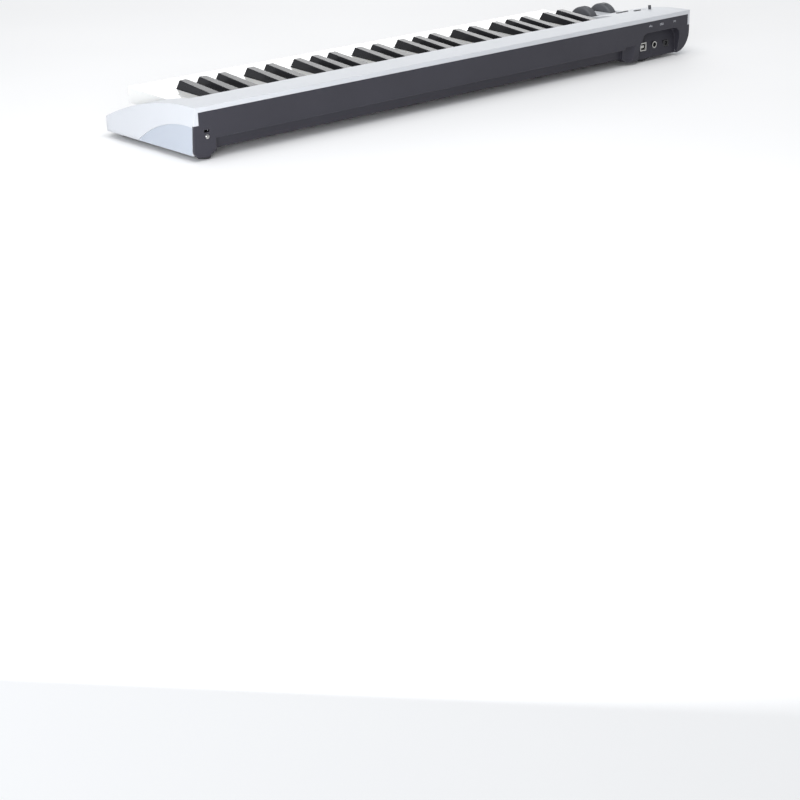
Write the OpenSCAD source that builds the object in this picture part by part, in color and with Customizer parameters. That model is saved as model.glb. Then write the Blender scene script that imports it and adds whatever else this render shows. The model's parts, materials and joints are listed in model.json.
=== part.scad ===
// A 49-note controller keyboard, C to C, with two wheels, a slider and three buttons.
// X runs along the keys towards the high notes, -Y faces the player, +Z is up.
// The origin is the middle of the footprint, on the surface that the feet stand on.

/* [Case] */
// Length of the whole case along the keys
case_l = 807.5; // [806:0.5:812]
// Depth of the case from its nose to its rear face
case_d = 180; // [180:0.5:182]
// Height of the top's highest line above the table
case_top = 58; // [57.8:0.1:58.6]
// Radius of the long curve that the top follows from front to rear
arc_r = 395; // [390:1:400]
// Width of the block on the left that carries the wheels and buttons
left_block = 94.5; // [94:0.5:95]
// Skin of the top case
skin = 2.2; // [2:0.1:2.4]
// Thickness of the top case's two end walls
end_wall = 3.6; // [3.4:0.1:3.8]
// Skin of the bottom case
wall = 2.5; // [2.3:0.1:2.6]
// Height of the case's underside above the table
foot_h = 4.2; // [4:0.1:4.4]
// Radius of the rubber feet
foot_r = 7.5; // [7:0.5:7.5]
// Thickness of the rubber feet
foot_t = 2; // [1.8:0.1:2.2]

/* [Keys] */
// Distance from one white key to the next
pitch = 23.5; // [23.3:0.1:23.5]
// Gap between neighbouring white keys
key_gap = 1.2; // [1:0.1:1.4]
// Gap beside a sharp
sharp_gap = 1; // [0.9:0.1:1.2]
// Height of the white keys' front edge
white_h = 50; // [49.8:0.1:50.2]
// Height of the sharps' front edge
sharp_h = 58.5; // [58:0.1:59]
// Width of a sharp at its foot
sharp_w = 13.7; // [13.4:0.1:13.8]
// Width of a sharp along its top
sharp_top_w = 9.5; // [9:0.1:10]
// Wall thickness of the keys
key_wall = 1.8; // [1.6:0.1:2]

/* [Controls] */
// Radius of the pitch and modulation wheels
wheel_r = 22.5; // [22:0.1:22.5]
// Thickness of the wheels
wheel_t = 14; // [13:0.5:14]
// Distance between the two wheels
wheel_gap = 38; // [37:0.5:38]
// Width of an octave button
button_w = 9; // [8.5:0.1:9]
// Travel of the volume slider
slider_travel = 34; // [30:1:34]

/* [Hidden] */
$fn = 64;
note_names = ["c", "cs", "d", "ds", "e", "f", "fs", "g", "gs", "a", "as", "b"];
white_of_note = [0, 0, 1, 1, 2, 3, 3, 4, 4, 5, 5, 6];
// Middle of each sharp, in white key widths from the left side of its C; 0 for a white note
sharp_at = [0, 0.902, 0, 2.098, 0, 0, 3.855, 0, 5, 0, 6.145, 0];
lowest_octave = 2;
key_count = 49;
white_count = 29;
key_names = [for (i = [0:key_count - 1])
    str("key_", note_names[i % 12], lowest_octave + floor(i / 12))];

half_l = case_l / 2;
inner_l = half_l - end_wall - 0.15;
rear_y = case_d / 2;
front_y = -case_d / 2;
fit = 0.15;
over = 1;

// The key well
well_x0 = -half_l + left_block;
well_x1 = well_x0 + white_count * pitch;
well_gap = 0.8;
rail_y = 36;
front_lip_z = 19;

// The top's long curve and the rounded nose that it runs into
arc_y = 80;
arc_z = case_top - arc_r;
nose_r = 8;
nose_y = front_y + nose_r;
nose_z = arc_z + sqrt(pow(arc_r - nose_r, 2) - pow(nose_y - arc_y, 2));
nose_start = 90 + atan2(arc_y - nose_y, nose_z - arc_z);
top_steps = 28;
nose_steps = 7;

// Levels of the bottom case
floor_z = 8.5;
floor_top = floor_z + wall;
face_z = 22;
lip_z = 52.5;
strip_y = 80;
cap_z = 38.5;

// The runners under the two ends, and the pod that holds the sockets
runner_w = 25;
runner_r = 8;
pod_x1 = -277;
pod_y0 = -20;
tray_x0 = -379;
tray_y1 = 80.8;
pod_r = 26;
grip_r = 150;
grip_y = 75;
grip_z = 37.5 - grip_r;

// The right end's wall and the hollow of its grip lean out this far for each millimetre down
end_lean = 0.15;
grip_lean = 0.065;
corner_r = 14;

// The recess for plugs, in the rear of the pod; its back leans outwards at the bottom
recess_x0 = -385;
recess_x1 = -303;
recess_r = 12;
recess_y = 76.5;
recess_top = 38;
recess_lean = 0.28;
ramp_angle = 50;
cove_r = 23.2;
cove_top = 25;
socket_y = 82.6;
socket_z = 19;
usb_x = -320;
jack_x = -342;
power_x = -365.3;
jack_r = 3.25;

// The lock slot and the screw on the rear of the right runner
lock_x = 390;
lock_z = 31.3;
cap_screw_z = 25.2;

// The key pivot: a round bead on the bed that each key's hook snaps over
pivot_y = 72;
pivot_z = 38;
bead_r = 2;
hook_r = 4;
hook_clear = 0.05;
web_t = 1.6;
slot_w = 2.8;
white_slope = 0.033;
sharp_front_y = -45.5;
notch_y = sharp_front_y - 1.2;
tail_y = 68;
key_in_y = 58;
sharp_end_y = 41;
sharp_end_z = 50.3;

// The key bed
bed_z = 13;
bed_top = bed_z + wall;
bed_boss_x = [for (i = [0:5]) -262 + i * 123];
bed_boss_y = [-58, 58];
case_boss_x = [for (i = [0:5]) -260 + i * 124];
case_boss_y = 83.2;
pilot_r = 1.2;
screw_r = 1.7;

// The circuit board on its posts in the pod
board_z = 12;
board_top = board_z + 1.6;
board_post_x = [-366, -318];
board_post_y = [0, 42];
end_bosses = [[-392, -56], [388, -56], [388, 30]];
guide_z = 36;
foot_at = [[388.5, 79], [-322, 74.5], [388.5, -68], [-388.5, -68]];

// The wheels and the raised saddle around them
wheel_x = -354.2;
pitch_x = wheel_x + wheel_gap / 2;
mod_x = wheel_x - wheel_gap / 2;
wheel_y = -39;
wheel_z = 34.3;
pin_r = 3;
pin_l = 3.4;
saddle_z = 46;
saddle_x0 = -389;
saddle_x1 = -319;
saddle_y0 = -75;
saddle_y1 = -12;
saddle_r = 12;

// The buttons and the slider; their tilt follows the top's curve
octave_up_x = -344;
octave_down_x = -354.7;
octave_y = 18;
function_x = -364;
function_y = 32;
button_d = 5;
button_rise = 1.2;
slider_x = -380.2;
slider_y = 40;
slider_tilt = tilt_at(24);
slider_w = 3.4;
slot_x = 2.6;

function top_z(y, inset = 0) = arc_z + sqrt(pow(arc_r - inset, 2) - pow(y - arc_y, 2));
function tilt_at(y) = asin((arc_y - y) / arc_r);
function white_z(y) = white_h - white_slope * (y - front_y);
function key_left(i) = well_x0 + pitch * (7 * floor(i / 12) + white_of_note[i % 12]);
function sharp_x(i) = well_x0 + pitch * (7 * floor(i / 12) + sharp_at[i % 12]);
function is_sharp(i) = sharp_at[i % 12] > 0;
function end_x(z) = half_l + end_lean * (case_top - z);
function grip_x(z) = end_x(cap_z) + grip_lean * (cap_z - z);
function recess_back(z) = recess_y + recess_lean * (recess_top - z);
function arc(y, z, r, a0, a1, n) =
    [for (i = [0:n]) let (a = a0 + (a1 - a0) * i / n) [y + r * cos(a), z + r * sin(a)]];

// The case seen from its end, set in by inset: the long curve, the nose and the underside
function outline(inset, base) = concat(
    [for (i = [0:top_steps])
        let (y = rear_y - inset + (nose_y + (nose_r - inset) * cos(nose_start) - rear_y + inset)
            * i / top_steps) [y, top_z(y, inset)]],
    arc(nose_y, nose_z, nose_r - inset, nose_start, inset > 0 ? 180 : 270, nose_steps),
    [[inset > 0 ? nose_y - nose_r + inset : nose_y, base], [rear_y - inset, base]]);

module box(a, b) translate(a) cube(b - a);

// A shape drawn in Y and Z, drawn out from x0 to x1
module along_x(x0, x1) translate([x0, 0, 0]) rotate([90, 0, 90]) linear_extrude(x1 - x0) children();

// A shape drawn in X and Z, drawn out from y0 to y1
module along_y(y0, y1) translate([0, y1, 0]) rotate([90, 0, 0]) linear_extrude(y1 - y0) children();

module case_solid(inset, x0, x1, base = nose_z - nose_r)
    along_x(x0, x1) polygon(outline(inset, base));

// A block with two rounded lower edges, seen from the front
module rounded_base(x0, x1, z0, z1, r0, r1) intersection() {
    translate([x0, z0]) square([x1 - x0, z1 - z0]);
    union() {
        translate([x0, z0 + r0]) square([x1 - x0, z1 - z0]);
        translate([x0 + r0, z0]) square([x1 - x0 - r0 - r1, z1 - z0]);
        translate([x0 + r0, z0 + r0]) circle(r0);
        translate([x1 - r1, z0 + r1]) circle(r1);
        if (r0 > r1) translate([x1 - r0, z0 + r1]) square([r0, r0 - r1 + over]);
    }
}

// What lies outside the right end's wall, and outside the hollow of its grip, seen from the front
module beyond_end() polygon([[end_x(case_top + over), case_top + over],
    [half_l + 30, case_top + over], [half_l + 30, 0], [end_x(0), 0]]);
module beyond_grip() polygon([[end_x(cap_z), cap_z], [half_l + 30, cap_z],
    [half_l + 30, 0], [grip_x(0), 0]]);

// What lies outside a front corner of the case that is rounded to radius r about the point (x, y)
module beyond_corner(side, x, y, r) difference() {
    box([side > 0 ? x : x - 30, y - 30, 0], [side > 0 ? x + 30 : x, y, case_top]);
    translate([x, y, -over]) cylinder(r = r, h = case_top + 2 * over);
}

module beyond_corners(inset) {
    beyond_corner(1, end_x(22) - corner_r, front_y + corner_r, corner_r - inset);
    beyond_corner(-1, -half_l + corner_r, front_y + corner_r, corner_r - inset);
}

// What lies outside a rounded lower edge at the side x of the case
module lower_edge(x, r, y0, y1) {
    side = sign(x);
    along_y(y0, y1) difference() {
        translate([side > 0 ? x - r : x - 3, foot_h - over]) square([r + 3, r + over]);
        translate([x - side * r, foot_h + r]) circle(r);
    }
}

// The disc whose edge draws the crescent of a hand grip on an end wall
module grip_disc(x0, x1, r = grip_r) translate([x0, grip_y, grip_z]) rotate([0, 90, 0])
    cylinder(r = r, h = x1 - x0, $fn = 128);

module upright(x, y, z0, z1, r) translate([x, y, z0]) cylinder(r = r, h = z1 - z0);

// ---- top case ----

module saddle(inset) {
    r = saddle_r - inset;
    along_x(saddle_x0 + inset, saddle_x1 - inset) polygon(concat(
        [[saddle_y1, saddle_z - inset]],
        arc(saddle_y0 + saddle_r, saddle_z - saddle_r, r, 90, 180, 6),
        [[saddle_y0 + inset, saddle_z - 30], [saddle_y1, saddle_z - 30]]));
}

// The rounded wall of the left end's grip, and the rim that joins it to the end wall
module left_grip() {
    x = -half_l + pod_r;
    z = foot_h + pod_r;
    low = nose_z - nose_r;
    intersection() {
        union() {
            grip_disc(-half_l, x);
            difference() {
                grip_disc(-half_l, x, grip_r + skin);
                grip_disc(-half_l - over, x + over);
            }
        }
        box([-half_l, front_y, low], [x, rear_y - wall - fit, z]);
        difference() {
            union() {
                translate([x, front_y, z]) rotate([-90, 0, 0]) cylinder(r = pod_r, h = case_d);
                difference() {
                    box([-half_l, front_y, low], [x, rear_y, z]);
                    grip_disc(-half_l - over, x + over);
                }
            }
            translate([x, front_y - over, z]) rotate([-90, 0, 0])
                cylinder(r = pod_r - skin, h = case_d + 2 * over);
        }
    }
}

module well_wall(x) intersection() {
    case_solid(0.4, x, x + skin, base = 0);
    box([x - over, front_y, floor_top + over], [x + skin + over, rail_y + 10, case_top]);
}

module wheel_fork(x) {
    for (s = [-1, 1]) translate([x + s * (wheel_t / 2 + 2.25) - 1.25, 0, 0]) {
        box([0, wheel_y - 6, wheel_z], [2.5, wheel_y + 6, saddle_z - 1]);
        translate([0, wheel_y, wheel_z]) rotate([0, 90, 0]) cylinder(r = 6, h = 2.5);
    }
}

module button_hole(x, y, w) translate([x, y, top_z(y)]) rotate([tilt_at(y), 0, 0])
    cube([w + 0.4, button_d + 0.4, 12], center = true);

module shell_hollow() {
    difference() {
        case_solid(skin, -half_l + end_wall, half_l - end_wall, base = 0);
        beyond_corners(skin);
    }
    difference() {
        case_solid(skin, half_l - end_wall - over, end_x(0), base = 0);
        translate([-end_wall, 0, 0]) along_y(front_y, rear_y) beyond_end();
        box([0, front_y, 0], [half_l + 30, rear_y, nose_z - nose_r + wall]);
        box([0, front_y - over, 0], [half_l + 30, nose_y + 2, case_top]);
        box([0, strip_y, 0], [half_l + 30, rear_y, case_top]);
    }
}

module top_shell() {
    difference() {
        case_solid(0, -half_l, end_x(0));
        shell_hollow();
        along_y(front_y - over, rear_y + over) beyond_end();
        beyond_corners(0);
        box([well_x0 - well_gap, front_y - over, front_lip_z],
            [well_x1 + well_gap, rail_y, case_top + over]);
        box([-half_l + end_wall, strip_y, 0], [half_l - end_wall, rear_y + over, lip_z]);
        box([-half_l - over, rear_y - wall - fit, 0], [half_l + 30, rear_y + over, cap_z + fit]);
        lower_edge(end_x(foot_h + runner_r), runner_r, front_y, rear_y);
        lower_edge(-half_l, runner_r, front_y, rear_y);
        intersection() {
            grip_disc(half_l - over, half_l + 30);
            along_y(front_y, rear_y + over) beyond_grip();
        }
        intersection() {
            grip_disc(-half_l - over, -half_l + end_wall);
            lower_edge(-half_l, pod_r, front_y, rear_y);
        }
    }
    left_grip();
    well_wall(well_x0 - well_gap - skin);
    well_wall(well_x1 + well_gap);
}

module top_case() color("gainsboro") difference() {
    union() {
        top_shell();
        difference() {
            saddle(0);
            saddle(skin);
            case_solid(skin / 2, saddle_x0 - over, saddle_x1 + over, base = 0);
        }
        wheel_fork(pitch_x);
        wheel_fork(mod_x);
        for (x = case_boss_x)
            upright(x, case_boss_y, face_z + wall, top_z(case_boss_y) - skin / 2, 3);
        for (p = end_bosses)
            upright(p[0], p[1], floor_top, top_z(p[1]) - skin / 2, 3.5);
    }
    for (x = [pitch_x, mod_x]) {
        box([x - wheel_t / 2 - 1, wheel_y - wheel_r, wheel_z - wheel_r],
            [x + wheel_t / 2 + 1, wheel_y + wheel_r, saddle_z + over]);
        translate([x - 12, wheel_y, wheel_z]) rotate([0, 90, 0])
            cylinder(r = pin_r + hook_clear, h = 24);
    }
    for (x = case_boss_x) upright(x, case_boss_y, face_z, face_z + 20, pilot_r);
    for (p = end_bosses) upright(p[0], p[1], floor_top - 1, floor_top + 12, pilot_r);
    button_hole(octave_up_x, octave_y, button_w);
    button_hole(octave_down_x, octave_y, button_w);
    button_hole(function_x, function_y, button_w + 1);
    translate([slider_x, slider_y, top_z(slider_y)]) rotate([slider_tilt, 0, 0])
        box([-slot_x / 2, -slider_travel - 3, -10], [slot_x / 2, 5, 10]);
}

// ---- bottom case ----

// The left pod up to height z1: its lowest layer is full width, and above that it sits
// inside the rounded wall of the grip
module pod_block(x0, x1, y0, y1, z1) intersection() {
    along_y(y0, y1) rounded_base(-half_l, pod_x1, foot_h, cap_z + 5, pod_r, runner_r);
    box([x0, y0, 0], [x1, y1, z1]);
    union() {
        box([-half_l, y0, 0], [pod_x1, y1, nose_z - nose_r - fit]);
        translate([-half_l + pod_r, y0, foot_h + pod_r]) rotate([-90, 0, 0])
            cylinder(r = pod_r - skin - fit, h = y1 - y0);
        box([-half_l + pod_r, y0, 0], [pod_x1, y1, z1]);
    }
}

module left_runner(y0, y1) difference() {
    x = -half_l + runner_w;
    along_y(y0, y1) rounded_base(-half_l, x, foot_h, floor_top + runner_r, runner_r, runner_r);
    box([-half_l - over, y0 - over, floor_top], [x + over, y1 + over, floor_top + 20]);
    box([-half_l - over, y0 - over, nose_z - nose_r - fit], [-inner_l, y1 + over, floor_top + over]);
}

// The right runner as seen from the rear, up to height z
module right_base(z) difference() {
    rounded_base(half_l - runner_w, grip_x(foot_h + runner_r), foot_h, z, 12, runner_r);
    beyond_grip();
}

module right_runner(y0, y1) intersection() {
    along_y(y0, y1) right_base(floor_top + 12);
    box([0, y0, 0], [inner_l, y1, floor_top]);
}

// The recess for plugs, open underneath: a rounded corner at its left, a ramp at its right
module plug_recess() intersection() {
    along_y(recess_y, rear_y + over) {
        polygon([[recess_x0 + 5.5, foot_h - over], [recess_x0, recess_top - recess_r],
            [recess_x0 + recess_r, recess_top - recess_r], [recess_x0 + recess_r, recess_top],
            [recess_x1 - 15, recess_top], [recess_x1 - 9, recess_top - 2.7],
            [recess_x1 - 1.8, 21], [recess_x1, 14], [recess_x1 + 2, foot_h - over]]);
        translate([recess_x0 + recess_r, recess_top - recess_r]) circle(recess_r);
    }
    behind_recess(0);
    translate([recess_x1 + 3, rear_y, 0]) rotate([0, 0, ramp_angle])
        box([-150, 0, 0], [20, 100, recess_top + over]);
}

// Everything to the rear of the recess's back, set forwards by inset
module behind_recess(inset) along_x(-half_l, pod_x1) polygon([
    [recess_back(0) - inset, 0], [recess_back(60) - inset, 60], [rear_y + over, 60],
    [rear_y + over, 0]]);

// The hollow down the right corner of the pod, beside the strip
module cove() intersection() {
    translate([pod_x1, rear_y + 17.7, 14]) rotate([0, -16, 0])
        cylinder(r = cove_r, h = 60, center = true, $fn = 128);
    box([pod_x1 - 30, strip_y, 0], [pod_x1 + over, rear_y + over, cove_top]);
}

module case_floor() {
    box([-inner_l, front_y + 2.8, floor_z], [inner_l, pod_y0, floor_top]);
    box([pod_x1 - wall, pod_y0 - over, floor_z], [inner_l, strip_y, floor_top]);
    intersection() {
        case_solid(0, -inner_l, inner_l);
        box([-half_l, front_y, 0], [half_l, front_y + 12, floor_z + 0.3]);
    }
}

module rear_wall() {
    box([-inner_l, rear_y - wall, face_z], [inner_l, rear_y, lip_z - 0.1]);
    box([pod_x1 - wall, strip_y - wall, face_z], [half_l - runner_w + wall, rear_y, face_z + wall]);
    box([pod_x1 - wall, strip_y - wall, floor_z],
        [half_l - runner_w + wall, strip_y, face_z + wall]);
    along_y(rear_y - wall, rear_y) {
        right_base(cap_z);
        rounded_base(-half_l, pod_x1, foot_h, cap_z, pod_r, runner_r);
    }
    runner_end = half_l - runner_w;
    box([runner_end, strip_y - wall, floor_z], [runner_end + wall, rear_y, face_z + wall]);
    box([pod_x1 - wall, strip_y - wall, floor_z], [pod_x1, rear_y, face_z + wall]);
}

module pod_tray() {
    difference() {
        pod_block(-half_l, pod_x1, pod_y0, rear_y - 1, floor_top);
        box([tray_x0, pod_y0 + wall, foot_h + wall], [pod_x1 - wall, tray_y1, floor_top + over]);
    }
    intersection() {
        pod_block(recess_x0 - wall, recess_x1 - 9, recess_y - wall, rear_y - 1, recess_top + wall);
        behind_recess(wall);
    }
    pod_block(recess_x1 - 10, pod_x1, strip_y - wall, rear_y - 1, cove_top + wall);
    pod_block(recess_x1 - 10, recess_x1 + wall, strip_y - wall, rear_y - 1, recess_top + wall);
    for (x = board_post_x, y = board_post_y) upright(x, y, foot_h, board_z, 3);
}

module bottom_case() color("dimgray") difference() {
    union() {
        difference() {
            union() {
                case_floor();
                left_runner(front_y + 10, pod_y0);
            }
            beyond_corners(skin + fit);
        }
        rear_wall();
        right_runner(front_y + 10, rear_y - 1);
        pod_tray();
        for (x = bed_boss_x, y = bed_boss_y) upright(x, y, floor_z, bed_z, 4);
        for (p = foot_at) upright(p[0], p[1], foot_t, foot_h + wall, foot_r + 0.6);
    }
    plug_recess();
    cove();
    box([usb_x - 6.3, socket_y - 9, socket_z - 5.6], [usb_x + 6.3, socket_y + 2, socket_z + 5.6]);
    along_y(socket_y - 9, socket_y + 2) translate([jack_x, socket_z]) circle(4.6);
    box([power_x - 5.4, socket_y - 9, board_top - 0.2],
        [power_x + 5.4, socket_y + 2, board_top + 8.4]);
    box([lock_x - 3.5, rear_y - 4, lock_z - 1.5], [lock_x + 3.5, rear_y + 1, lock_z + 1.5]);
    along_y(rear_y - 4, rear_y + 1) translate([lock_x, cap_screw_z]) circle(screw_r);
    for (x = bed_boss_x, y = bed_boss_y) upright(x, y, floor_z - over, bed_z + over, pilot_r);
    for (x = case_boss_x) upright(x, case_boss_y, face_z - over, face_z + wall + over, screw_r);
    for (p = end_bosses) upright(p[0], p[1], foot_h - over, floor_top + over, screw_r);
    for (x = board_post_x, y = board_post_y)
        upright(x, y, foot_h + wall, board_z + over, pilot_r);
}

// ---- key bed ----

// The bead that the keys' hooks turn on, standing on a thin web
module pivot_rail(x0, x1) {
    box([x0, pivot_y - web_t / 2, bed_z], [x1, pivot_y + web_t / 2, pivot_z]);
    translate([x0, pivot_y, pivot_z]) rotate([0, 90, 0]) cylinder(r = bead_r, h = x1 - x0);
}

// The post that keeps a key from moving sideways
module key_guide(i) {
    if (is_sharp(i)) {
        x = sharp_x(i);
        half = sharp_w / 2 - key_wall - 0.35;
        box([x - half, sharp_front_y + 9, bed_z], [x + half, sharp_front_y + 14, guide_z + 1]);
    } else {
        x = key_left(i) + pitch / 2;
        half = (pitch - key_gap) / 2 - key_wall - 0.35;
        box([x - half, front_y + 18, bed_z], [x + half, front_y + 24, guide_z]);
    }
}

module key_bed() color("slategray") difference() {
    union() {
        box([well_x0 + 1, front_y + 6, bed_z], [well_x1 - 1, pivot_y + web_t / 2, bed_top]);
        pivot_rail(well_x0 + 1, well_x1 - 1);
        for (i = [0:key_count - 1]) key_guide(i);
        for (i = [1:white_count - 1]) {
            x = well_x0 + i * pitch;
            box([x - 0.6, pivot_y - 10, bed_z], [x + 0.6, pivot_y, bed_top + 12]);
        }
    }
    for (x = bed_boss_x, y = bed_boss_y) upright(x, y, bed_z - over, bed_top + over, screw_r);
}

// ---- main board with its sockets ----

module usb_socket() difference() {
    box([usb_x - 6, socket_y - 16, board_top], [usb_x + 6, socket_y, board_top + 10.8]);
    difference() {
        box([usb_x - 4.3, socket_y - 9, socket_z - 4], [usb_x + 4.3, socket_y + 1, socket_z + 4]);
        box([usb_x - 2.8, socket_y - 10, socket_z - 1.6],
            [usb_x + 2.8, socket_y - 1.5, socket_z + 1.6]);
    }
}

module jack_socket() difference() {
    union() {
        box([jack_x - 7.5, socket_y - 28, board_top], [jack_x + 7.5, socket_y - 5.6, board_top + 12]);
        along_y(socket_y - 7, socket_y + 0.4) translate([jack_x, socket_z]) circle(4.4);
    }
    along_y(socket_y - 25, socket_y + over) translate([jack_x, socket_z]) circle(jack_r);
}

module power_socket() difference() {
    box([power_x - 5.2, socket_y - 14, board_top], [power_x + 5.2, socket_y + 0.2, board_top + 8.2]);
    difference() {
        along_y(socket_y - 9, socket_y + over) translate([power_x, board_top + 4.4]) circle(2.75);
        along_y(socket_y - 10, socket_y - 1) translate([power_x, board_top + 4.4]) circle(1);
    }
}

module main_board() color("darkgreen") {
    difference() {
        box([tray_x0 + 0.5, pod_y0 + 14, board_z], [recess_x1 - 10, tray_y1 - 0.4, board_top]);
        for (x = board_post_x, y = board_post_y)
            upright(x, y, board_z - over, board_top + over, screw_r);
    }
    usb_socket();
    jack_socket();
    power_socket();
}

// ---- feet ----

module rubber_feet() color("black") for (p = foot_at)
    translate([p[0], p[1], 0]) rotate_extrude() {
        square([foot_r - 1, foot_t]);
        translate([0, 1]) square([foot_r, foot_t - 1]);
        translate([foot_r - 1, 1]) circle(1, $fn = 32);
    }

// ---- wheels ----

module wheel(x) translate([x, wheel_y, wheel_z]) rotate([0, 90, 0]) difference() {
    union() {
        rotate_extrude() {
            translate([0, -wheel_t / 2]) square([wheel_r - 3, wheel_t]);
            translate([0, -wheel_t / 2 + 3]) square([wheel_r, wheel_t - 6]);
            for (s = [-1, 1]) intersection() {
                translate([wheel_r - 3, s * (wheel_t / 2 - 3)]) circle(3);
                translate([0, -wheel_t / 2]) square([wheel_r, wheel_t]);
            }
        }
        cylinder(r = pin_r, h = wheel_t + 2 * pin_l, center = true);
        cylinder(r = 5, h = wheel_t + 1, center = true);
    }
    children();
}

// The shallow hollow that a thumb rests in
module thumb_hollow(angle) rotate([0, 0, angle]) translate([-wheel_r - 8, 0, 0]) sphere(10);

module pitch_wheel() color("darkslategray") wheel(pitch_x) thumb_hollow(0);
module mod_wheel() color("darkslategray") wheel(mod_x) thumb_hollow(-25);

// ---- slider and buttons ----

module volume_slider() color("darkslategray")
    translate([slider_x, slider_y, top_z(slider_y)]) rotate([slider_tilt, 0, 0]) {
        translate([-slider_w / 2, -1.4, 0.6]) cube([slider_w, 2.8, 4.9]);
        translate([-0.9, -1.2, -7]) cube([1.8, 2.4, 8]);
    }

// A cap that stands through the top, with a flange under it and a stem down to its switch
module push_button(x, y, w) translate([x, y, top_z(y)]) rotate([tilt_at(y), 0, 0]) {
    translate([-w / 2, -button_d / 2, -4.2]) cube([w, button_d, 4.2 + button_rise]);
    translate([-w / 2 - 0.6, -button_d / 2 - 1.2, -4.2]) cube([w + 1.2, button_d + 2.4, 1]);
    translate([0, 0, -6]) cylinder(r = 1.6, h = 3);
}

module octave_down_button() color("darkslategray") push_button(octave_down_x, octave_y, button_w);
module octave_up_button() color("darkslategray") push_button(octave_up_x, octave_y, button_w);
module function_button() color("darkslategray") push_button(function_x, function_y, button_w + 1);

// ---- keys ----

// The hook at the rear of a key, open below for the web of the pivot rail
module key_hook(x0, x1) {
    difference() {
        union() {
            translate([x0, pivot_y, pivot_z]) rotate([0, 90, 0]) cylinder(r = hook_r, h = x1 - x0);
            box([x0, key_in_y, pivot_z - 1], [x1, pivot_y, pivot_z + hook_r]);
        }
        translate([x0 - over, pivot_y, pivot_z]) rotate([0, 90, 0])
            cylinder(r = bead_r + hook_clear, h = x1 - x0 + 2 * over);
        box([x0 - over, pivot_y - slot_w / 2, pivot_z - hook_r - over],
            [x1 + over, pivot_y + slot_w / 2, pivot_z]);
    }
}

module white_key(i) {
    left = key_left(i) + key_gap / 2;
    right = key_left(i) + pitch - key_gap / 2;
    half = sharp_w / 2 + sharp_gap;
    tail_left = i > 0 && is_sharp(i - 1) ? sharp_x(i - 1) + half : left;
    tail_right = i < key_count - 1 && is_sharp(i + 1) ? sharp_x(i + 1) - half : right;
    difference() {
        intersection() {
            along_x(left, right) polygon([
                [front_y, 31.5], [front_y, white_h], [tail_y, white_z(tail_y)],
                [tail_y, 35], [-52, 35], [-64, 31.5]]);
            union() {
                box([left, front_y, 0], [right, notch_y, 100]);
                box([tail_left, notch_y - over, 0], [tail_right, tail_y, 100]);
            }
        }
        white_hollow(left + key_wall, right - key_wall, front_y + 2, notch_y - key_wall);
        white_hollow(tail_left + key_wall, tail_right - key_wall, notch_y - 3, key_in_y);
    }
    key_hook(tail_left, tail_right);
}

module white_hollow(x0, x1, y0, y1) along_x(x0, x1) polygon([
    [y0, 30], [y0, white_z(y0) - skin], [y1, white_z(y1) - skin], [y1, 30]]);

module sharp_key(i) {
    x = sharp_x(i);
    half = sharp_w / 2;
    top = sharp_top_w / 2;
    difference() {
        intersection() {
            along_x(x - half, x + half) polygon([
                [sharp_front_y, 34], [sharp_front_y, sharp_h - 10], [-41, sharp_h - 0.7],
                [-40, sharp_h], [sharp_end_y, sharp_end_z], [sharp_end_y, 45.5], [tail_y, 44],
                [tail_y, 34]]);
            along_y(sharp_front_y, tail_y) polygon([
                [x - half, 30], [x - half, 47.5], [x - top, sharp_h], [x + top, sharp_h],
                [x + half, 47.5], [x + half, 30]]);
        }
        along_x(x - half + key_wall, x + half - key_wall) polygon([
            [sharp_front_y + 2, 30], [sharp_front_y + 2, 46], [key_in_y, 42], [key_in_y, 30]]);
    }
    key_hook(x - half, x + half);
}

module key(i) {
    if (is_sharp(i)) color("black") sharp_key(i);
    else color("white") white_key(i);
}

top_case();
bottom_case();
key_bed();
main_board();
rubber_feet();
pitch_wheel();
mod_wheel();
volume_slider();
octave_down_button();
octave_up_button();
function_button();
for (i = [0:key_count - 1]) key(i);
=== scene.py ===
import json
import math

import bmesh
import bpy
from mathutils import Matrix, Vector


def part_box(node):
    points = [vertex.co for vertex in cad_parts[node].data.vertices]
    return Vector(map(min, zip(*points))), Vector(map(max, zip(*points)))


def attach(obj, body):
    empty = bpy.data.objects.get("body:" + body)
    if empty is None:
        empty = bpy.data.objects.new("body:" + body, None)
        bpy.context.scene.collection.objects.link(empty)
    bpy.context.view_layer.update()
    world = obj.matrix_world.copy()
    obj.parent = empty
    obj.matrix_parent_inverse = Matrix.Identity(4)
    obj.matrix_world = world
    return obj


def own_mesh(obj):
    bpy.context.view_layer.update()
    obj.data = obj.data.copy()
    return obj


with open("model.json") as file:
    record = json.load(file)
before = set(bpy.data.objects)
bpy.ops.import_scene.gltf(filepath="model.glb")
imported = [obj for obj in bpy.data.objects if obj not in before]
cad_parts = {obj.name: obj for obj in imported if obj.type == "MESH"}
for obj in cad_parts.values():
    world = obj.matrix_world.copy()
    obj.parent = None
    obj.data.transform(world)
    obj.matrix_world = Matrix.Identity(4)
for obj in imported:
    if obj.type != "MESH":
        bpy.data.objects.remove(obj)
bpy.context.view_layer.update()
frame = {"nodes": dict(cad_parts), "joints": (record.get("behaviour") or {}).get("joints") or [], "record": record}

scene = bpy.context.scene
nodes = frame["nodes"]
keys = sorted(name for name in nodes if name.startswith("key_") and name != "key_bed")

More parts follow.
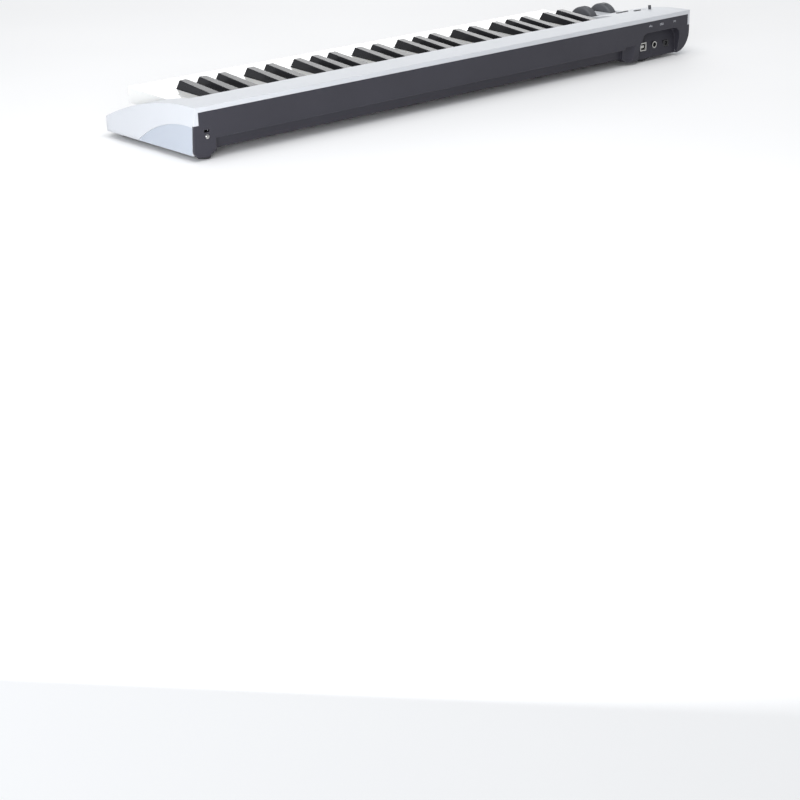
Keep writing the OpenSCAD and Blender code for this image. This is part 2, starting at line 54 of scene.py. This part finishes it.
# Lengths are in millimetres until they are multiplied by MM
MM = 0.001
mounts = {mount["name"]: Vector(mount["pos_m"]) / MM for mount in frame["record"]["mounts"]}
axles = {joint["child"]: Vector(joint["pos_m"]) / MM
         for joint in frame["joints"] if "pos_m" in joint}
CLEAR = 0.03       # gap between an added piece and the CAD face that it lies on
REAR_Y = 90        # the rear face
FACE_Z = 22        # underside of the case's rear edge, where a row of screws goes in
FOOT_Z = 4.2       # underside of the case's ends
BED_TOP = 15.5     # upper side of the key bed's floor
BOARD_TOP = 13.6   # upper side of the main circuit board
PITCH = 23.5       # from one white key to the next
WELL_X0 = axles["key_c2"].x - PITCH / 2
WELL_X1 = axles["key_c6"].x + PITCH / 2


def mm(x, y, z):
    """A point in metres, from millimetres."""
    return Vector((x, y, z)) * MM


def is_sharp(key):
    """A sharp has an s after its note, as in key_cs2."""
    return key[5] == "s"


# ---- materials ----

class Graph:
    """The node tree of a new material. Most methods add nodes and return an output socket."""

    def __init__(self, name):
        self.mat = bpy.data.materials.new(name)
        self.mat.use_nodes = True
        self.tree = self.mat.node_tree
        self.tree.nodes.clear()
        self.shader = self.add("BsdfPrincipled")
        self.link(self.shader.outputs["BSDF"], self.add("OutputMaterial"), "Surface")
        self.place = self.add("TexCoord").outputs["Object"]

    def add(self, kind, **values):
        """Adds a node and sets its properties, or its inputs with _ for each space."""
        node = self.tree.nodes.new("ShaderNode" + kind)
        for key, value in values.items():
            if hasattr(node, key):
                setattr(node, key, value)
            else:
                node.inputs[key.replace("_", " ")].default_value = value
        return node

    def link(self, socket, node, into):
        self.tree.links.new(socket, node.inputs[into])

    def shade(self, **values):
        """Sets the shader's inputs, each to a value or to another node's output."""
        for key, value in values.items():
            into = key.replace("_", " ")
            if isinstance(value, bpy.types.NodeSocket):
                self.link(value, self.shader, into)
            else:
                self.shader.inputs[into].default_value = value

    def scaled(self, scale):
        """The place on the object, multiplied by scale along each axis."""
        mapping = self.add("Mapping", Scale=scale)
        self.link(self.place, mapping, "Vector")
        return mapping.outputs["Vector"]

    def noise(self, scale, detail=3.0, roughness=0.5, stretch=None):
        node = self.add("TexNoise", Scale=scale, Detail=detail, Roughness=roughness)
        self.link(self.scaled(stretch) if stretch else self.place, node, "Vector")
        return node.outputs["Fac"]

    def ramp(self, socket, low, high, to_low=0.0, to_high=1.0):
        """Maps low to to_low and high to to_high, and holds them beyond."""
        node = self.add("MapRange", From_Min=low, From_Max=high, To_Min=to_low, To_Max=to_high)
        self.link(socket, node, "Value")
        return node.outputs[0]

    def combine(self, kind, operation, a, b):
        node = self.add(kind, operation=operation)
        self.link(a, node, 0)
        self.link(b, node, 1)
        return node.outputs["Value"]

    def mix(self, factor, a, b):
        """Blends two colours, each an output socket or a tuple of red, green and blue."""
        node = self.add("Mix", data_type="RGBA")
        self.link(factor, node, 0)
        for value, into in ((a, 6), (b, 7)):
            if isinstance(value, tuple):
                node.inputs[into].default_value = (*value, 1)
            else:
                self.link(value, node, into)
        return node.outputs[2]

    def bump(self, height, strength, distance, onto=None):
        node = self.add("Bump", Strength=strength, Distance=distance * MM)
        self.link(height, node, "Height")
        if onto is not None:
            self.link(onto, node, "Normal")
        return node.outputs["Normal"]


def toned(color, factor, lift=0.0):
    """A colour made lighter or darker."""
    return tuple(min(1, c * factor + lift) for c in color)


def plastic(name, color, rough, grain=0.06, grain_scale=2600, tone=0.06, smudge=0.08,
            edge=0.25, coat=0.0, ior=1.5, rounding=0.4, subsurface=0.0):
    """Moulded plastic: a fine mould grain, slow changes of tone, smudges in the gloss and
    edges made lighter, partly as wear and partly as a painted highlight along the rims."""
    g = Graph(name)
    slow = g.noise(7, 4)
    patch = g.noise(55, 5, 0.6)
    fine = g.noise(grain_scale, 2)
    speck = g.noise(900, 2)
    dark = toned(color, 1 - tone)
    tint = g.mix(g.ramp(slow, 0.35, 0.65), dark, toned(color, 1 + tone))
    tint = g.mix(g.ramp(speck, 0.3, 0.7, 0, 0.35), tint, dark)
    rounded = None
    if rounding:
        rounded = g.add("Bevel", samples=4, Radius=rounding * MM).outputs["Normal"]
        flat = g.add("NewGeometry").outputs["Normal"]
        # Rounded edges get a lighter colour: a little wear, and a painted highlight where rims catch the light
        edge_wear_and_highlight = g.ramp(g.combine("VectorMath", "DOT_PRODUCT", rounded, flat), 0.98, 0.80, 0, edge)
        broken = g.combine("Math", "MULTIPLY", edge_wear_and_highlight, g.ramp(patch, 0.4, 0.65, 0.2, 1))
        tint = g.mix(broken, tint, toned(color, 1.6, 0.06))
    g.shade(Base_Color=tint, IOR=ior, Coat_Weight=coat, Coat_Roughness=0.12,
            Roughness=g.ramp(patch, 0.3, 0.7, rough - smudge / 2, rough + smudge / 2),
            Normal=g.bump(fine, grain, 0.2, rounded))
    if subsurface:
        g.shade(Subsurface_Weight=subsurface, Subsurface_Radius=(0.002, 0.0018, 0.0015))
    return g.mat


def metal(name, color, rough, brushed=(1, 1, 1), tone=0.1):
    """Plated or turned metal with fine marks along one direction and small dull spots."""
    g = Graph(name)
    marks = g.noise(900, 3, 0.6, brushed)
    spots = g.noise(160, 5, 0.65)
    g.shade(Base_Color=g.mix(g.ramp(spots, 0.45, 0.7), color, toned(color, 1 - tone)),
            Metallic=1, Roughness=g.ramp(spots, 0.3, 0.7, rough - 0.06, rough + 0.1),
            Normal=g.bump(marks, 0.12, 0.1))
    return g.mat


def felt(name, color):
    """Pressed felt: crossing fibres, a fuzzy sheen and uneven dye."""
    g = Graph(name)
    along = g.noise(1500, 4, 0.7, (1, 4, 2))
    across = g.noise(1300, 4, 0.7, (4, 1, 2))
    dye = g.noise(120, 4)
    fibres = g.combine("Math", "MAXIMUM", along, across)
    tint = g.mix(g.ramp(fibres, 0.4, 0.75), toned(color, 0.55), color)
    tint = g.mix(g.ramp(dye, 0.3, 0.7, 0, 0.4), tint, toned(color, 1.35))
    g.shade(Base_Color=tint, Roughness=0.95, Sheen_Weight=0.6, Sheen_Roughness=0.5,
            Normal=g.bump(fibres, 0.7, 0.5))
    return g.mat


def circuit_board(name, color):
    """Solder mask over copper tracks: the tracks show as slightly raised, lighter lines."""
    g = Graph(name)
    bricks = g.add("TexBrick", offset=0.5, Scale=1, Mortar_Size=0.06)
    g.link(g.scaled((260, 260, 260)), bricks, "Vector")
    tracks = bricks.outputs["Fac"]
    weave = g.noise(1800, 2)
    tint = g.mix(tracks, color, toned(color, 1.7, 0.01))
    tint = g.mix(g.ramp(weave, 0.3, 0.7, 0, 0.3), tint, toned(color, 0.7))
    g.shade(Base_Color=tint, Roughness=0.32, Coat_Weight=0.3, Normal=g.bump(tracks, 0.3, 0.1))
    return g.mat


def floor_paint(name, dark, light):
    """Matt paint with clouds of tone and a little dust."""
    g = Graph(name)
    cloud = g.noise(1.5, 3)
    dust = g.noise(180, 3)
    g.shade(Base_Color=g.mix(g.ramp(cloud, 0.3, 0.7), dark, light), Roughness=0.75,
            Normal=g.bump(dust, 0.05, 0.3))
    return g.mat


# The high edge values of the silver, the hollows and the dark case paint highlights along their rims
SILVER = plastic("silver_plastic", (0.58, 0.595, 0.62), 0.5, grain=0.05, tone=0.02,
                 smudge=0.06, edge=0.5, ior=1.36, rounding=0.8)
# A darker, bluer copy of the silver for the hand hollows: its colour is painted shade, its rougher, coarser grain
# is a matte finish
GRIP_PAINTED_SHADE = plastic("grip_painted_shade", (0.445, 0.48, 0.535), 0.62, grain=0.14, tone=0.03, edge=0.5,
               ior=1.36, rounding=0.8)
SLATE = plastic("dark_plastic", (0.036, 0.035, 0.045), 0.42, grain=0.12, tone=0.08,
                smudge=0.1, edge=0.9, ior=1.34, rounding=1.3)
BED = plastic("bed_plastic", (0.30, 0.31, 0.33), 0.5, grain=0.08)
RUBBER = plastic("foot_rubber", (0.028, 0.028, 0.03), 0.78, grain=0.2, grain_scale=1500,
                 tone=0.2, edge=0.1)
CONTROL = plastic("control_plastic", (0.085, 0.087, 0.095), 0.5, grain=0.15,
                  grain_scale=1800, tone=0.1, edge=0.2)
IVORY = plastic("white_key_plastic", (0.80, 0.80, 0.78), 0.16, grain=0.01, tone=0.015,
                smudge=0.05, edge=0.0, coat=0.4, rounding=0, subsurface=0.15)
EBONY = plastic("black_key_plastic", (0.011, 0.011, 0.013), 0.28, grain=0.003, tone=0.1,
                smudge=0.05, edge=0.04, coat=0.12, ior=1.42, rounding=0.9)
BOARD = circuit_board("circuit_board", (0.015, 0.12, 0.045))
NICKEL = metal("nickel_plate", (0.50, 0.495, 0.48), 0.26, (1, 12, 1))
STEEL = metal("zinc_plated_steel", (0.62, 0.63, 0.66), 0.3)
SPRING_STEEL = metal("spring_steel", (0.55, 0.56, 0.58), 0.25)
SOCKET_BLACK = plastic("socket_plastic", (0.016, 0.016, 0.018), 0.42, grain=0.08, tone=0.1)
RED_FELT = felt("red_felt", (0.36, 0.015, 0.02))
CONTACT_RUBBER = plastic("contact_rubber", (0.30, 0.31, 0.30), 0.7, grain=0.1, tone=0.05)
INK = plastic("pale_ink", (0.42, 0.43, 0.46), 0.55, grain=0.1, tone=0.15, rounding=0)
FLOOR_PAINT = floor_paint("pale_floor", (0.87, 0.868, 0.865), (0.90, 0.898, 0.895))


# ---- finish of the CAD nodes ----

def dress(name, mat, *more, width=0.0, angle=28):
    """Gives a node its material, welds its split corners, and rounds its edges or, without a
    width, keeps them crisp; edges that turn by more than angle degrees count."""
    obj = nodes[name]
    mesh = obj.data
    mesh.materials.clear()
    for each in (mat, *more):
        mesh.materials.append(each)
    bpy.context.view_layer.objects.active = obj
    if mesh.has_custom_normals:
        bpy.ops.mesh.customdata_custom_splitnormals_clear()
    for polygon in mesh.polygons:
        polygon.use_smooth = True
    weld = obj.modifiers.new("weld", "WELD")
    weld.merge_threshold = 0.002 * MM
    if width:
        bevel = obj.modifiers.new("round", "BEVEL")
        bevel.width = width * MM
        bevel.segments = 3
        bevel.limit_method = "ANGLE"
        bevel.angle_limit = math.radians(angle)
        bevel.use_clamp_overlap = False
        bevel.harden_normals = True
        bevel.miter_outer = "MITER_ARC"
    else:
        split = obj.modifiers.new("split", "EDGE_SPLIT")
        split.split_angle = math.radians(angle)
    return mesh


for name in keys:
    if is_sharp(name):
        dress(name, EBONY, width=0.9, angle=40)
    else:
        dress(name, IVORY, width=0.6, angle=40)
for name in ("volume_slider", "octave_down_button", "octave_up_button", "function_button"):
    dress(name, CONTROL, width=0.35, angle=40)
for name in ("pitch_wheel", "mod_wheel"):
    dress(name, CONTROL, angle=35)
dress("bottom_case", SLATE)
dress("key_bed", BED)
dress("rubber_feet", RUBBER)

# The hollows that the hands hold take a darker, bluer copy of the silver, which is painted shade, with a rougher,
# coarser grain as a finish of their own.
# The right one is a flat wall that leans out, less than the wall around it. The left one is a round along the foot
# of its wall.
HOLLOW_TOP = 38.6
RIGHT_LEAN = (0.05, 0.08)
LEFT_AXIS_X = -377.75
LEFT_AXIS_Z = 30.2
LEFT_RADIUS = 26
for polygon in dress("top_case", SILVER, GRIP_PAINTED_SHADE).polygons:
    c, n = polygon.center / MM, polygon.normal
    right_hollow = n.x > 0.9 and RIGHT_LEAN[0] < n.z < RIGHT_LEAN[1]
    off_round = abs(math.hypot(c.x - LEFT_AXIS_X, c.z - LEFT_AXIS_Z) - LEFT_RADIUS)
    left_hollow = n.x < -0.2 and n.z < -0.02 and off_round < 0.5
    if c.z < HOLLOW_TOP and (right_hollow or left_hollow):
        polygon.material_index = 1

# Of the three sockets on the board, the data socket and the jack's front ring are metal
RING_Y = 82.9
SHELL_X = -331
jack = mounts["sustain_jack"]
for polygon in dress("main_board", BOARD, SOCKET_BLACK, NICKEL).polygons:
    c = polygon.center / MM
    if c.z > BOARD_TOP + 0.01:
        ring = polygon.normal.y > 0.9 and c.y > RING_Y and abs(c.x - jack.x) < 5
        polygon.material_index = 2 if c.x > SHELL_X or ring else 1


# ---- mesh helpers ----

def mesh_object(name, bm):
    """Moves bm into a new object of the scene."""
    mesh = bpy.data.meshes.new(name)
    bm.to_mesh(mesh)
    bm.free()
    obj = bpy.data.objects.new(name, mesh)
    scene.collection.objects.link(obj)
    return obj


def add_piece(name, bm, mat, smooth=True):
    """Makes a piece of bm that rides on the case."""
    bmesh.ops.recalc_face_normals(bm, faces=bm.faces)
    obj = mesh_object(name, bm)
    obj.data.materials.append(mat)
    for polygon in obj.data.polygons:
        polygon.use_smooth = smooth
    if smooth:
        split = obj.modifiers.new("split", "EDGE_SPLIT")
        split.split_angle = math.radians(35)
    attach(obj, "case")
    return obj


def lathe(bm, profile, place, steps):
    """Turns a profile of (radius, height) about local Z; place is a matrix."""
    rings = []
    for radius, height in profile:
        if radius == 0:
            rings.append([bm.verts.new(place @ mm(0, 0, height))])
            continue
        turns = [2 * math.pi * k / steps for k in range(steps)]
        rings.append([bm.verts.new(place @ mm(radius * math.cos(a), radius * math.sin(a), height))
                      for a in turns])
    for low, high in zip(rings, rings[1:]):
        for k in range(steps):
            a = low[k % len(low)], low[(k + 1) % len(low)]
            b = high[k % len(high)], high[(k + 1) % len(high)]
            corners = [a[0], a[1], b[1], b[0]]
            face = [v for i, v in enumerate(corners) if v not in corners[:i]]
            if len(face) > 2:
                bm.faces.new(face)


def block(bm, x, y, z, place=None, bevel=0.0, segments=2):
    """A block with rounded edges, which fills the spans (low, high) along X, Y and Z."""
    made = bmesh.ops.create_cube(bm, size=1)["verts"]
    for v in made:
        v.co = mm(*(low + (share + 0.5) * (high - low) for share, (low, high) in zip(v.co, (x, y, z))))
    if bevel:
        edges = list({e for v in made for e in v.link_edges})
        made = bmesh.ops.bevel(bm, geom=edges, offset=bevel * MM, segments=segments,
                               affect="EDGES")["verts"] + [v for v in made if v.is_valid]
    if place is not None:
        for v in {v for v in made if v.is_valid}:
            v.co = place @ v.co


def tube(bm, path, radius, sides):
    """A round wire along a path of points."""
    rings = []
    up = Vector((0.13, 0.29, 0.95)).normalized()
    for i, point in enumerate(path):
        along = (path[min(i + 1, len(path) - 1)] - path[max(i - 1, 0)]).normalized()
        across = along.cross(up).normalized()
        over = across.cross(along)
        turns = [2 * math.pi * k / sides for k in range(sides)]
        rings.append([
            bm.verts.new((point + radius * (across * math.cos(a) + over * math.sin(a))) * MM)
            for a in turns])
    for a, b in zip(rings, rings[1:]):
        for k in range(sides):
            bm.faces.new([a[k], a[(k + 1) % sides], b[(k + 1) % sides], b[k]])
    bm.faces.new(rings[0][::-1])
    bm.faces.new(rings[-1])


def coil(foot, radius, height, turns):
    """Points of an upright coil spring with flattened end turns."""
    steps = 14
    points = []
    for i in range(turns * steps + 1):
        turn = i / steps
        share = min(max((turn - 0.75) / (turns - 1.5), 0), 1)
        angle = 2 * math.pi * turn
        points.append(foot + Vector((radius * math.cos(angle), radius * math.sin(angle),
                                     share * height)))
    return points


def facing(point, direction):
    """A matrix whose local Z runs along direction from point."""
    turn = Vector(direction).to_track_quat("Z", "Y").to_matrix().to_4x4()
    return Matrix.Translation(Vector(point) * MM) @ turn


# ---- screws ----

def screw_mesh(head_r, head_h, shank_r, length):
    """A pan-head screw with a cross recess; its shank runs down local -Z from the head."""
    dome = [(0, head_h)] + [
        (head_r * math.sin(a), head_h * (0.42 + 0.58 * math.cos(a)))
        for a in (math.radians(x) for x in (18, 36, 54, 70, 82, 90))]
    profile = dome + [(head_r, 0.12 * head_h), (head_r * 0.95, 0), (shank_r, 0)]
    root_r = shank_r * 0.82
    for k in range(length):
        z = -k - 0.5
        profile += [(root_r, z + 0.3), (shank_r, z), (root_r, z - 0.3)]
    profile += [(shank_r * 0.75, -length), (0, -length - shank_r)]
    bm = bmesh.new()
    lathe(bm, profile, Matrix.Identity(4), 28)
    bmesh.ops.recalc_face_normals(bm, faces=bm.faces)
    screw = mesh_object("screw_source", bm)

    # The recess is cut by two wedges that cross
    half, wide, deep = head_r * 0.58, head_r * 0.11, head_h * 0.8
    cutters = []
    for turn in (0, 90):
        bm = bmesh.new()
        top, bottom = [
            [bm.verts.new(mm(x * half * spread, y * wide, z))
             for x, y in ((-1, -1), (1, -1), (1, 1), (-1, 1))]
            for z, spread in ((head_h * 1.2, 1.15), (head_h - deep, 0.35))]
        bm.faces.new(top)
        bm.faces.new(bottom[::-1])
        for k in range(4):
            bm.faces.new([top[k], bottom[k], bottom[(k + 1) % 4], top[(k + 1) % 4]])
        bmesh.ops.rotate(bm, verts=bm.verts, matrix=Matrix.Rotation(math.radians(turn), 3, "Z"))
        bmesh.ops.recalc_face_normals(bm, faces=bm.faces)
        cutter = mesh_object("cut", bm)
        recess = screw.modifiers.new("recess", "BOOLEAN")
        recess.operation = "DIFFERENCE"
        recess.solver = "EXACT"
        recess.object = cutter
        cutters.append(cutter)
    bpy.context.view_layer.update()
    shown = screw.evaluated_get(bpy.context.evaluated_depsgraph_get())
    done = bpy.data.meshes.new_from_object(shown)
    for obj in (screw, *cutters):
        bpy.data.objects.remove(obj)
    return done


def screws(name, source, places, mat=STEEL):
    """One piece that holds a screw at each of the matrices in places."""
    bm = bmesh.new()
    for place in places:
        before = len(bm.verts)
        bm.from_mesh(source)
        bm.verts.ensure_lookup_table()
        for v in bm.verts[before:]:
            v.co = place @ v.co
    add_piece(name, bm, mat)


DOWN, UP, BACK = (0, 0, -1), (0, 0, 1), (0, 1, 0)
REAR_ROW_X = [-260 + 124 * i for i in range(6)]
REAR_ROW_Y = 83.2
END_AT = [(-392, -56), (388, -56), (388, 30)]
BED_X = [-262 + 123 * i for i in range(6)]
BED_Y = (-58, 58)
BOARD_X = (-366, -318)
BOARD_Y = (0, 42)
BELOW_LOCK = 6.1

small_screw = screw_mesh(2.7, 1.7, 1.1, 8)
rear_screw = screw_mesh(2.5, 1.3, 1.4, 6)
lock = mounts["lock_slot"]
screws("case_screws_rear", small_screw,
       [facing((x, REAR_ROW_Y, FACE_Z - CLEAR), DOWN) for x in REAR_ROW_X])
screws("case_screws_end", small_screw,
       [facing((x, y, FOOT_Z - CLEAR), DOWN) for x, y in END_AT])
screws("key_bed_screws", small_screw,
       [facing((x, y, BED_TOP + CLEAR), UP) for x in BED_X for y in BED_Y])
screws("board_screws", small_screw,
       [facing((x, y, BOARD_TOP + CLEAR), UP) for x in BOARD_X for y in BOARD_Y])
screws("rear_end_screw", rear_screw,
       [facing((lock.x, REAR_Y + CLEAR, lock.z - BELOW_LOCK), BACK)], NICKEL)


# ---- felts under the rail and on the key bed ----

# A strip along the rail, with tongues that hang down between the sharps
STRIP_Y, STRIP_Z = (36.5, 38.2), (52.4, 53.1)
TONGUE_Y, TONGUE_Z = (36.6, 38), (46.2, 52.6)
END_GAP = 0.5
SHARP_GAP = 0.6

bm = bmesh.new()
edges = [WELL_X0 + END_GAP]
for low, high in sorted((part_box(name) for name in keys if is_sharp(name)), key=lambda box: box[0].x):
    edges += [low.x / MM - SHARP_GAP, high.x / MM + SHARP_GAP]
edges.append(WELL_X1 - END_GAP)
block(bm, (edges[0], edges[-1]), STRIP_Y, STRIP_Z, bevel=0.2)
for x0, x1 in zip(edges[::2], edges[1::2]):
    block(bm, (x0, x1), TONGUE_Y, TONGUE_Z, bevel=0.3)
add_piece("rail_felt", bm, RED_FELT)

# The keys' front ends come down on the first felt, and the sharps' on the second
STOP_FELTS = [((-83.5, -76.5), (BED_TOP, 21)), ((-44, -39), (BED_TOP, 25.6))]
bm = bmesh.new()
for y, z in STOP_FELTS:
    block(bm, (WELL_X0 + 2, WELL_X1 - 2), y, z, bevel=0.8, segments=3)
add_piece("key_stop_felts", bm, RED_FELT)


# ---- contact board, rubber contacts and return springs ----

PLATE_TOP = 17.1
STRIP_TOP = 18.2
DOME = [(4.2, 0), (4.0, 1.2), (3.2, 2.6), (2.6, 4.2), (2.4, 5.4), (1.9, 5.9), (0, 5.9)]
DOME_Y = (-4.5, 6.5)

bm = bmesh.new()
block(bm, (WELL_X0 + 6, WELL_X1 - 6), (-14, 16), (BED_TOP + CLEAR, PLATE_TOP), bevel=0.2)
add_piece("contact_board", bm, BOARD)
bm = bmesh.new()
block(bm, (WELL_X0 + 8, WELL_X1 - 8), (-9, 11), (PLATE_TOP, STRIP_TOP), bevel=0.4)
for name in keys:
    low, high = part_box(name)
    x = (low.x + high.x) / 2 / MM
    for y in DOME_Y:
        lathe(bm, DOME, Matrix.Translation(mm(x, y, STRIP_TOP - 0.1)), 16)
add_piece("contact_strip", bm, CONTACT_RUBBER)

# A spring stands on the bed under the middle of each key's tail
SPRING_Y = 47.5
SPRING_Z = 16        # middle of the lowest turn's wire
SPRING_R = 2.1
SPRING_H = 24.4
WIRE_R = 0.3
TAIL_Y = (50, 70)
for name in keys:
    if is_sharp(name):
        low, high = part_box(name)
        x = (low.x + high.x) / 2
    else:
        tail = [v.co.x for v in nodes[name].data.vertices if TAIL_Y[0] < v.co.y / MM < TAIL_Y[1]]
        x = (min(tail) + max(tail)) / 2
    bm = bmesh.new()
    tube(bm, coil(Vector((x / MM, SPRING_Y, SPRING_Z)), SPRING_R, SPRING_H, 9), WIRE_R, 6)
    spring = add_piece("spring_" + name[4:], bm, SPRING_STEEL)
    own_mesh(spring)


# ---- control board, switches and fader, under the sloping deck behind the wheels ----

TOP_ARC_Y, TOP_ARC_R = 80, 395
DECK_Y = 24
BUTTONS = [(-344, 18), (-354.7, 18), (-364, 32)]
BUTTON_Z = 46.5
SLIDER_X = -380.2
# Heights in the deck's own axes
PLATE = (-13.6, -12)
SWITCH = (-12, -8.5)
PLUNGER = [(1.7, -8.6), (1.7, -7.5), (1.5, -7.3), (0, -7.3)]
FADER = (-12, -6.8)

tilt = math.asin((TOP_ARC_Y - DECK_Y) / TOP_ARC_R)
deck = Matrix.Translation(mm(-366, DECK_Y, 54.01)) @ Matrix.Rotation(tilt, 4, "X")
bm = bmesh.new()
block(bm, (-30, 30), (-18, 20), PLATE, deck, 0.2)
add_piece("control_board", bm, BOARD)
bm = bmesh.new()
for x, y in BUTTONS:
    at = deck.inverted() @ mm(x, y, BUTTON_Z) / MM
    block(bm, (at.x - 3, at.x + 3), (at.y - 3, at.y + 3), SWITCH, deck, 0.3)
    lathe(bm, PLUNGER, deck @ Matrix.Translation(mm(at.x, at.y, 0)), 20)
add_piece("button_switches", bm, SOCKET_BLACK)
bm = bmesh.new()
x = (deck.inverted() @ mm(SLIDER_X, DECK_Y, 54)).x / MM
for side in (x - 2.7, x + 2.7):
    block(bm, (side - 1.3, side + 1.3), (-23.5, 23.5), FADER, deck, 0.4)
for end in (-22.2, 22.2):
    block(bm, (x - 4, x + 4), (end - 1.3, end + 1.3), FADER, deck, 0.4)
add_piece("fader_body", bm, SOCKET_BLACK)


# ---- wheel sensors and the centring spring ----

# The sensors face each other between the wheels, each with three terminals
POT = [(0, 5.4), (6.6, 5.4), (7.2, 4.9), (7.2, 0.5), (6.9, 0), (3.4, 0), (3.4, -0.1), (0, -0.1)]
POT_X = 10.75
bm = bmesh.new()
for wheel, side in (("pitch_wheel", -1), ("mod_wheel", 1)):
    place = facing(axles[wheel] + Vector((side * POT_X, 0, 0)), (side, 0, 0))
    lathe(bm, POT, place, 32)
    for x in (-2.5, 0, 2.5):
        block(bm, (x - 0.4, x + 0.4), (-10.8, -7), (2, 2.4), place)
add_piece("wheel_sensors", bm, SOCKET_BLACK)

# Three turns about the pitch wheel's pin, with a straight leg at each end
COIL_X = 11.1
COIL_R = 4.2
COIL_PITCH = 0.6
steps = 12
turns = []
for k in range(3 * steps + 1):
    angle = 2 * math.pi * k / steps
    turns.append((COIL_X + COIL_PITCH * k / steps, COIL_R * math.cos(angle), COIL_R * math.sin(angle)))
path = [(11, 8, -5.5), (11.1, 4.6, -2.5), *turns, (13, 4.6, 2.5), (13, 8, 5.5)]
bm = bmesh.new()
tube(bm, [axles["pitch_wheel"] + Vector(point) for point in path], 0.35, 8)
add_piece("centring_spring", bm, SPRING_STEEL)


# ---- printed marks over the sockets: plain shapes ----

MARK_Z = 46.4


def rear_mark(name, x, bars):
    """Bars of (x, z, width, height) about a middle over the sockets, just proud of the rear."""
    bm = bmesh.new()
    for dx, dz, w, h in bars:
        block(bm, (x + dx - w / 2, x + dx + w / 2), (REAR_Y - 0.01, REAR_Y + CLEAR),
              (MARK_Z + dz - h / 2, MARK_Z + dz + h / 2))
    add_piece(name, bm, INK, smooth=False)


rear_mark("data_mark", mounts["usb_port"].x - 6,
          [(0, 0, 4.6, 0.7), (1.4, 1, 0.7, 1.7), (-1.3, -0.9, 0.7, 1.4), (3.1, 0, 1.4, 1.5)])
rear_mark("pedal_mark", jack.x - 5,
          [(0, 1, 6.2, 0.55), (0, -1, 6.2, 0.55), (3.1, 0, 0.55, 2.4), (-3.1, 0, 0.55, 2.4),
           (0, 0, 2.2, 0.6)])
rear_mark("power_mark", mounts["power_inlet"].x - 7.7,
          [(0, 0.8, 5, 0.6), (-2, -0.5, 1.1, 0.6), (0, -0.5, 1.1, 0.6), (2, -0.5, 1.1, 0.6)])


# ---- camera, floor and light, in metres ----

AZIMUTH, ELEVATION, ROLL = map(math.radians, (139.134, 22.483, 1.370))
CAMERA_AT = (1.40363, 1.56531, 0.45225)
FLOOR_HALF = 14
FLOOR_Z = -0.0002

back = Vector((math.sin(AZIMUTH) * math.cos(ELEVATION), -math.cos(AZIMUTH) * math.cos(ELEVATION),
               math.sin(ELEVATION)))
ahead = -back
right = ahead.cross(Vector((0, 0, 1))).normalized()
down = ahead.cross(right)
turned_right = math.cos(ROLL) * right + math.sin(ROLL) * down
turned_down = -math.sin(ROLL) * right + math.cos(ROLL) * down
camera_data = bpy.data.cameras.new("camera")
camera_data.lens = 76.245
camera_data.sensor_width = 36
camera_data.clip_start = 0.05
camera_data.clip_end = 50
camera = bpy.data.objects.new("camera", camera_data)
scene.collection.objects.link(camera)
aim = Matrix((turned_right, -turned_down, back)).transposed().to_4x4()
camera.matrix_world = Matrix.Translation(CAMERA_AT) @ aim
scene.camera = camera

bm = bmesh.new()
bmesh.ops.create_grid(bm, x_segments=1, y_segments=1, size=FLOOR_HALF)
floor = mesh_object("floor", bm)
floor.data.materials.append(FLOOR_PAINT)
floor.location.z = FLOOR_Z

world = bpy.data.worlds.new("studio")
scene.world = world
world.use_nodes = True
sky = world.node_tree.nodes["Background"]
sky.inputs["Color"].default_value = (0.95, 0.97, 1.0, 1)
sky.inputs["Strength"].default_value = 0.47


def softbox(name, place, aim, size, power, color=(1, 1, 1)):
    """A rectangular lamp of power watts at place that faces aim."""
    light = bpy.data.lights.new(name, "AREA")
    light.shape = "RECTANGLE"
    light.size, light.size_y = size
    light.energy = power
    light.color = color
    obj = bpy.data.objects.new(name, light)
    scene.collection.objects.link(obj)
    obj.location = place
    obj.rotation_mode = "QUATERNION"
    obj.rotation_quaternion = (Vector(aim) - Vector(place)).to_track_quat("-Z", "Y")
    return obj


softbox("overhead", (0.35, 0.2, 2.6), (0.1, 0, 0), (3.2, 2.4), 47)
softbox("player_side", (-1.9, -2.2, 0.75), (0, 0, 0.05), (2.6, 1.2), 19)
softbox("right_side", (2.0, 0.55, 0.7), (0.1, 0.05, 0.03), (1.2, 0.8), 7, (0.86, 0.92, 1.0))
near_rear = softbox("near_rear", (1.05, 0.85, 0.22), (0.2, 0.09, 0.03), (0.5, 0.25), 9,
                    (0.96, 0.97, 1.0))
near_rear.visible_camera = False

scene.view_settings.view_transform = "Standard"
scene.view_settings.look = "None"
